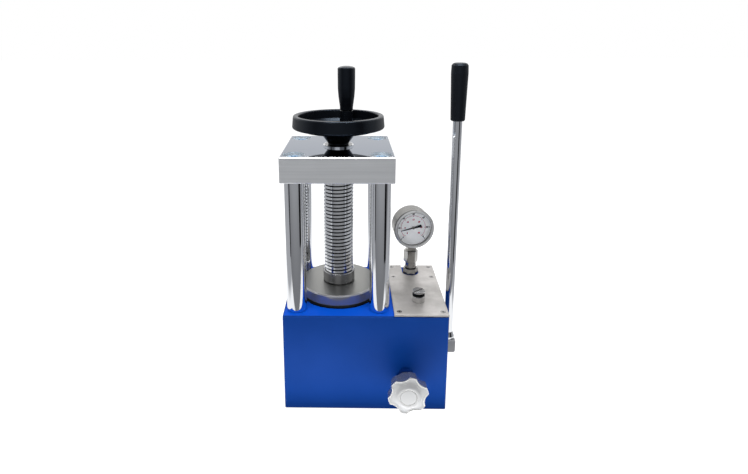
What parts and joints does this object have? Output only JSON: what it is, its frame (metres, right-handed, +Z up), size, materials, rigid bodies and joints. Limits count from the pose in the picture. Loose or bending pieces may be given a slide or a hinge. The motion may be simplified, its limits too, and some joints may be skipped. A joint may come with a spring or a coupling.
{
  "type": "table-top hydraulic press",
  "caption": "Table-top hydraulic press: columns carry a top plate with a handwheel screw over a ram that a lever hand pump raises, with gauge, release knob and oil filler.",
  "frame": {"origin": "press axis at the underside of the base", "axes": "+X to the pump lever, +Y to the back, +Z up along the press axis"},
  "size_m": [0.2553, 0.202, 0.4876],
  "materials": {
    "blue_paint": "satin",
    "cover_steel": "brushed",
    "bright_screw": "polished",
    "chrome": "polished",
    "plate_steel": "ground",
    "zinc_steel": "blue zinc",
    "black_rubber": "matte",
    "ram_chrome": "ground top, plated side",
    "screw_steel": "turned",
    "pad_steel": "turned",
    "dark_steel": "blackened",
    "black_bakelite": "satin",
    "black_grip": "satin",
    "socket_steel": "machined",
    "brass": "machined",
    "knob_plastic": "satin",
    "cap_plastic": "satin",
    "gauge_steel": "polished",
    "gauge_glass": "clear",
    "dial_white": "matte",
    "pointer_black": "matte",
    "fitting_steel": "plated",
    "plug_steel": "plated"
  },
  "bodies": {
    "frame": {"base_housing": "blue_paint", "tank_cover": "cover_steel", "cover_screws": "bright_screw", "column_front_left": "chrome", "column_front_right": "chrome", "column_rear_left": "chrome", "column_rear_right": "chrome", "top_plate": "plate_steel", "column_screws": "zinc_steel", "wiper_ring": "black_rubber", "shaft_bush": "brass", "shaft_seal": "black_rubber", "pump_block": "socket_steel", "plunger_seal": "black_rubber", "plunger_gland": "brass", "delivery_spring": "screw_steel", "delivery_plug": "socket_steel", "valve_gland": "blue_paint", "gauge_case": "gauge_steel", "gauge_bezel": "gauge_steel", "gauge_glass": "gauge_glass", "gauge_dial": "dial_white", "gauge_movement": "brass", "bourdon_tube": "brass", "gauge_socket": "fitting_steel", "union_nut": "fitting_steel", "gauge_adapter": "fitting_steel", "adapter_seal": "black_rubber", "filler_bush": "plug_steel"},
    "ram": {"ram": "ram_chrome", "ram_seal": "black_rubber"},
    "pad": {"pressure_pad": "pad_steel", "thrust_ball": "screw_steel", "pad_grub_screw": "dark_steel"},
    "screw": {"lead_screw": "screw_steel", "handwheel": "black_bakelite", "wheel_washer": "dark_steel", "wheel_nut": "dark_steel", "handle_spindle": "screw_steel"},
    "wheel_handle": {"revolving_handle": "black_bakelite", "handle_cap": "black_bakelite"},
    "lever": {"lever_rod": "chrome", "lever_grip": "black_grip", "lever_socket": "socket_steel", "socket_grub_screw": "dark_steel", "rocker_shaft": "screw_steel", "crank_arm": "socket_steel", "crank_pin": "screw_steel"},
    "plunger": {"pump_plunger": "screw_steel"},
    "suction_check": {"suction_ball": "screw_steel"},
    "delivery_check": {"delivery_ball": "screw_steel"},
    "valve_ball": {"valve_ball": "screw_steel"},
    "valve": {"valve_spindle": "screw_steel", "release_knob": "knob_plastic", "knob_cap": "cap_plastic"},
    "pointer": {"gauge_pointer": "pointer_black"},
    "filler_seal": {"filler_seal": "black_rubber"},
    "filler_plug": {"filler_plug": "plug_steel"}
  },
  "joints": [
    {"name": "ram_stroke", "type": "slide", "parent": "frame", "child": "ram", "axis": [0, 0, 1], "range_m": [-0.0125, 0]},
    {"name": "screw_travel", "type": "slide", "parent": "frame", "child": "pad", "axis": [0, 0, 1], "range_m": [0, 0.14455]},
    {"name": "screw_turn", "type": "hinge", "parent": "pad", "child": "screw", "pos_m": [0, 0, 0.2], "axis": [0, 0, 1], "range_deg": [0, 9720]},
    {"name": "handle_spin", "type": "hinge", "parent": "screw", "child": "wheel_handle", "pos_m": [0.01113, 0.04463, 0.44], "axis": [0, 0, 1], "continuous": true},
    {"name": "lever_swing", "type": "hinge", "parent": "frame", "child": "lever", "pos_m": [0.1535, -0.01, 0.06], "axis": [1, 0, 0], "range_deg": [-35, 35]},
    {"name": "plunger_stroke", "type": "slide", "parent": "frame", "child": "plunger", "axis": [0, 0, 1], "range_m": [-0.0069, 0.0069]},
    {"name": "suction_lift", "type": "slide", "parent": "frame", "child": "suction_check", "axis": [0, 0, 1], "range_m": [0, 0.0012]},
    {"name": "delivery_lift", "type": "slide", "parent": "frame", "child": "delivery_check", "axis": [0, 0, 1], "range_m": [0, 0.0012], "deforming": ["delivery_spring"]},
    {"name": "valve_lift", "type": "slide", "parent": "frame", "child": "valve_ball", "axis": [0, -1, 0], "range_m": [0, 0.0015]},
    {"name": "valve_turn", "type": "hinge", "parent": "valve_ball", "child": "valve", "pos_m": [0.095, -0.1, 0.0535], "axis": [0, -1, 0], "range_deg": [0, 361]},
    {"name": "gauge_needle", "type": "hinge", "parent": "frame", "child": "pointer", "pos_m": [0.11574, 0.04408, 0.2295], "axis": [-0.1219, 0.9925, 0], "range_deg": [-30, 238], "stiffness_Nm_per_rad": 0.001},
    {"name": "filler_lift", "type": "slide", "parent": "frame", "child": "filler_seal", "axis": [0, 0, 1], "range_m": [0, 0.009]},
    {"name": "filler_turn", "type": "hinge", "parent": "filler_seal", "child": "filler_plug", "pos_m": [0.1157, -0.04, 0.16], "axis": [0, 0, 1], "range_deg": [0, 2162]}
  ],
  "couplings": [
    {"joint": "screw_travel", "follows": "screw_turn", "m_per_rad": 0.00085148},
    {"joint": "plunger_stroke", "follows": "lever_swing", "m_per_rad": -0.011267},
    {"joint": "valve_turn", "follows": "valve_lift", "rad_per_m": 4188.8},
    {"joint": "filler_turn", "follows": "filler_lift", "rad_per_m": 4188.8}
  ]
}
